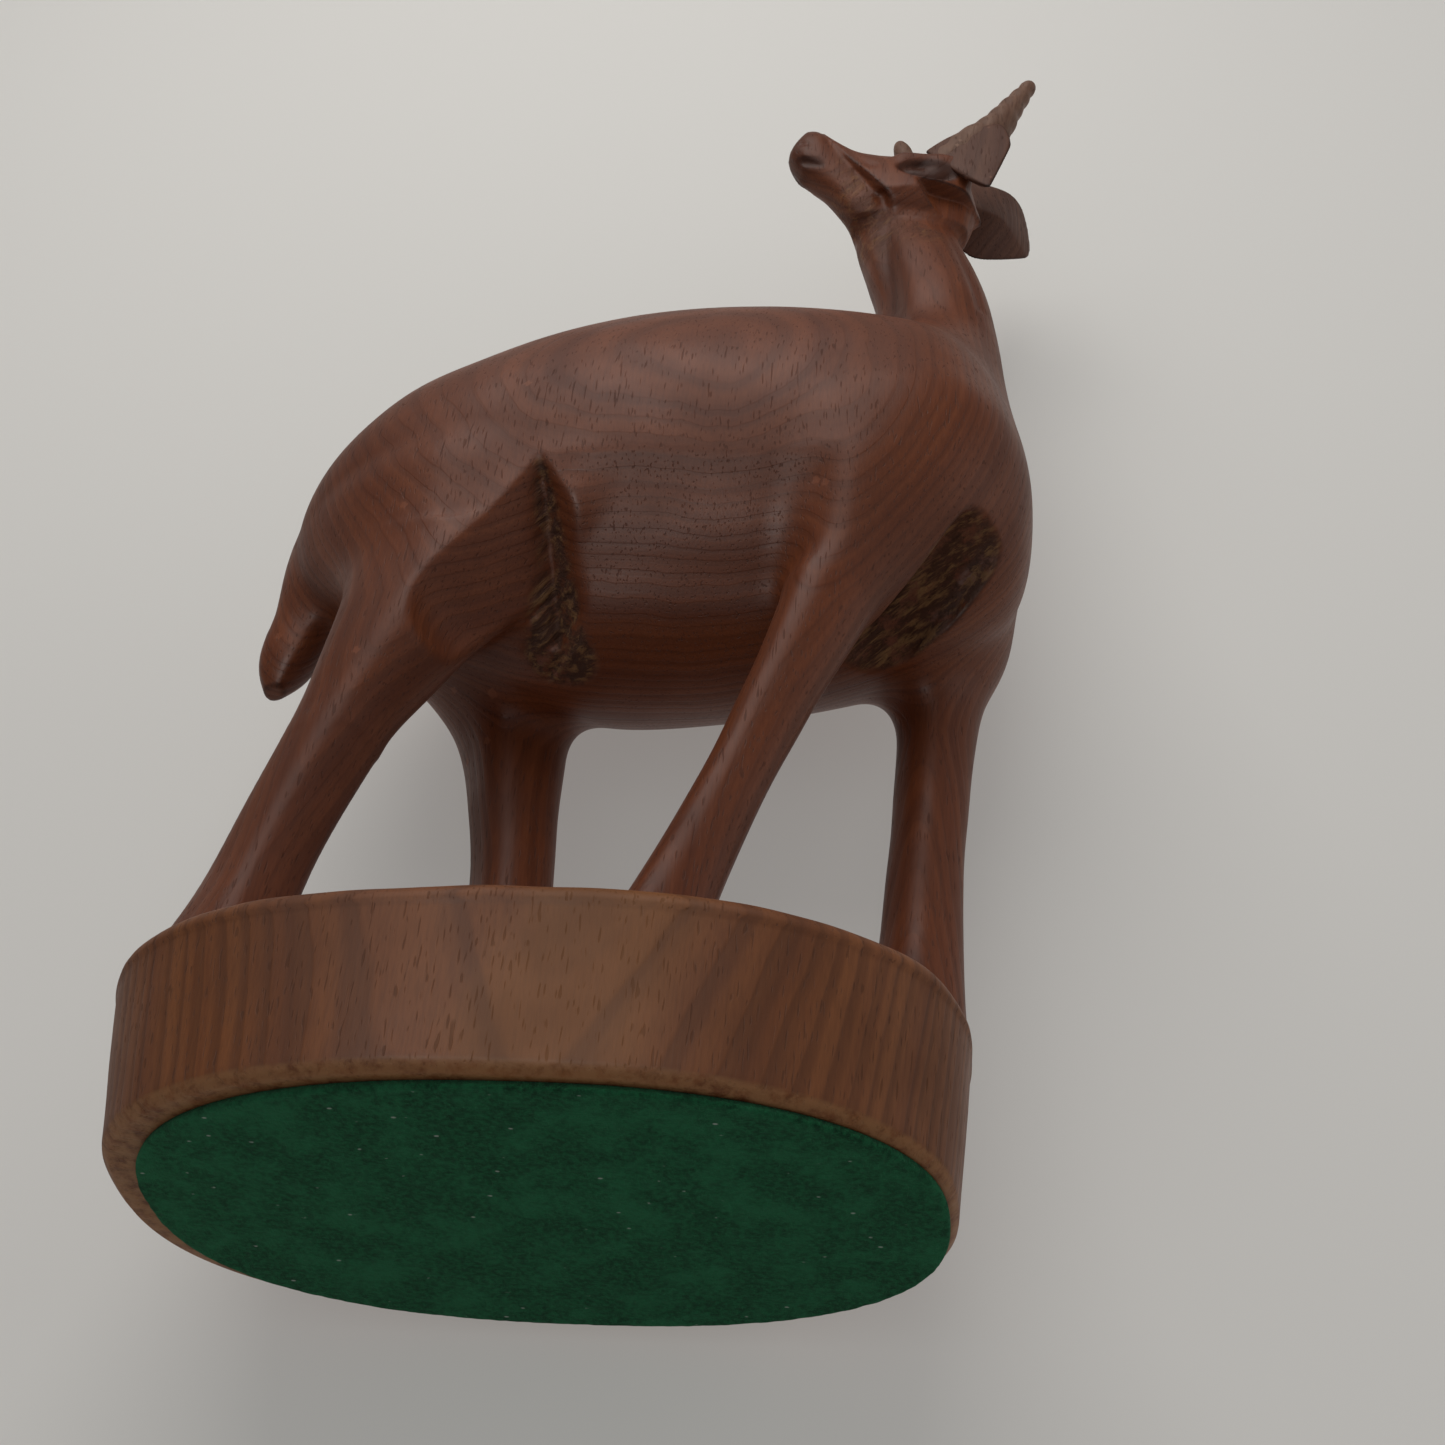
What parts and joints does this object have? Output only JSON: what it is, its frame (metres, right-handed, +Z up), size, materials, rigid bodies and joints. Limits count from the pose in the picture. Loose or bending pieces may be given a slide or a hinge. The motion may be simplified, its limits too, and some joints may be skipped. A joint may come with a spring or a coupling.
{
  "type": "carved antelope statue",
  "caption": "Hand-carved hardwood antelope looking back over its body, standing on an oval plinth with a felt pad underneath.",
  "frame": {"origin": "centre of the felt's underside, on the table", "axes": "+Z up, +X the way the animal's body walks (the head looks back towards -X), +Y the animal's left"},
  "size_m": [0.1247, 0.0718, 0.2509],
  "materials": {
    "figure_wood": "waxed, satin",
    "plinth_wood": "waxed, satin",
    "horn_wood": "carved, matt",
    "ear_wood": "carved, matt",
    "glue": "dried glue",
    "felt": "pressed wool felt"
  },
  "bodies": {
    "root": {"figure": "figure_wood", "plinth": "plinth_wood", "left_horn": "horn_wood", "right_horn": "horn_wood", "left_ear": "ear_wood", "right_ear": "ear_wood", "adhesive_film": "glue", "felt_pad": "felt"}
  },
  "joints": []
}
